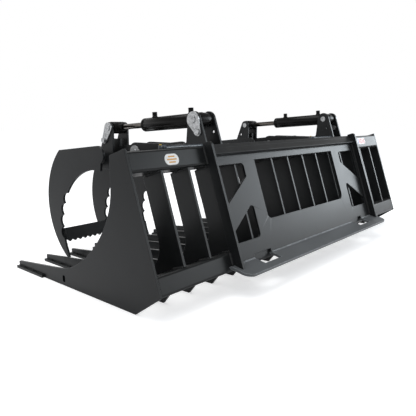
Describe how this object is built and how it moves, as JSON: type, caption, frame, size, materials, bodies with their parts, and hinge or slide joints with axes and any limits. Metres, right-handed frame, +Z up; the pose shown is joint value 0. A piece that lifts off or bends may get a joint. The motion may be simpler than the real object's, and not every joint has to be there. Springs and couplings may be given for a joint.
{
  "type": "brush grapple",
  "caption": "Skid-steer brush grapple: comb of upright tines with side plates, coupler plate on the back and two hydraulic clamping arms with scalloped claws.",
  "frame": {"origin": "on the ground under the middle of the bounding box, midway across the width and along the length", "axes": "+Z up, -Y towards the tine noses, +Y towards the loader, +X to the operator's left, along the width"},
  "size_m": [1.849, 1.0022, 0.6318],
  "materials": {
    "black_paint": "satin black powder coat",
    "cylinder_paint": "semi-gloss black enamel",
    "chrome_rod": "hard chrome",
    "zinc": "bright zinc plate",
    "line_steel": "satin dark grey",
    "cap_yellow": "plain plastic"
  },
  "bodies": {
    "frame": {"side_plate_left": "black_paint", "side_plate_right": "black_paint", "tine_1": "black_paint", "tine_2": "black_paint", "tine_3": "black_paint", "tine_4": "black_paint", "tine_5": "black_paint", "tine_6": "black_paint", "tine_7": "black_paint", "tine_8": "black_paint", "tine_9": "black_paint", "tine_10": "black_paint", "tine_11": "black_paint", "tine_12": "black_paint", "tine_13": "black_paint", "tine_14": "black_paint", "tip_bars": "black_paint", "cross_bar": "black_paint", "top_beam": "black_paint", "bottom_beam": "black_paint", "hitch_plate": "black_paint", "hitch_lip": "black_paint", "hitch_ledge": "black_paint", "hitch_gussets": "black_paint", "left_brackets": "black_paint", "right_brackets": "black_paint", "tower_pins": "zinc", "pivot_pins": "zinc", "frame_retainers": "zinc", "frame_bolts": "zinc", "beam_lines": "line_steel", "line_caps": "cap_yellow"},
    "left_arm": {"left_claw_outer": "black_paint", "left_claw_centre": "black_paint", "left_claw_inner": "black_paint", "left_tooth_plates": "black_paint", "left_cross_tube": "black_paint", "left_hub": "black_paint", "left_lugs": "black_paint", "left_rod_pin": "zinc", "left_lug_keeper": "zinc"},
    "left_cylinder": {"left_barrel": "cylinder_paint", "left_base_eye": "cylinder_paint", "left_gland": "cylinder_paint"},
    "left_ram": {"left_rod": "chrome_rod", "left_rod_eye": "cylinder_paint"},
    "right_arm": {"right_claw_outer": "black_paint", "right_claw_centre": "black_paint", "right_claw_inner": "black_paint", "right_tooth_plates": "black_paint", "right_cross_tube": "black_paint", "right_hub": "black_paint", "right_lugs": "black_paint", "right_rod_pin": "zinc", "right_lug_keeper": "zinc"},
    "right_cylinder": {"right_barrel": "cylinder_paint", "right_base_eye": "cylinder_paint", "right_gland": "cylinder_paint"},
    "right_ram": {"right_rod": "chrome_rod", "right_rod_eye": "cylinder_paint"}
  },
  "joints": [
    {"name": "left_arm_open", "type": "hinge", "parent": "frame", "child": "left_arm", "pos_m": [0.485, -0.13013, 0.455], "axis": [-1, 0, 0], "range_deg": [0, 45]},
    {"name": "left_cylinder_swing", "type": "hinge", "parent": "frame", "child": "left_cylinder", "pos_m": [0.485, 0.19587, 0.588], "axis": [-1, 0, 0], "range_deg": [0, 13.5]},
    {"name": "left_ram_slide", "type": "slide", "parent": "left_cylinder", "child": "left_ram", "axis": [0, 0.9974, 0.0722], "range_m": [0, 0.113]},
    {"name": "right_arm_open", "type": "hinge", "parent": "frame", "child": "right_arm", "pos_m": [-0.485, -0.13013, 0.455], "axis": [-1, 0, 0], "range_deg": [0, 45]},
    {"name": "right_cylinder_swing", "type": "hinge", "parent": "frame", "child": "right_cylinder", "pos_m": [-0.485, 0.19587, 0.588], "axis": [-1, 0, 0], "range_deg": [0, 13.5]},
    {"name": "right_ram_slide", "type": "slide", "parent": "right_cylinder", "child": "right_ram", "axis": [0, 0.9974, 0.0722], "range_m": [0, 0.113]}
  ],
  "couplings": [
    {"joint": "left_cylinder_swing", "follows": "left_arm_open", "ratio": 0.2905},
    {"joint": "left_ram_slide", "follows": "left_arm_open", "m_per_rad": 0.1417},
    {"joint": "right_cylinder_swing", "follows": "right_arm_open", "ratio": 0.2905},
    {"joint": "right_ram_slide", "follows": "right_arm_open", "m_per_rad": 0.1417}
  ]
}
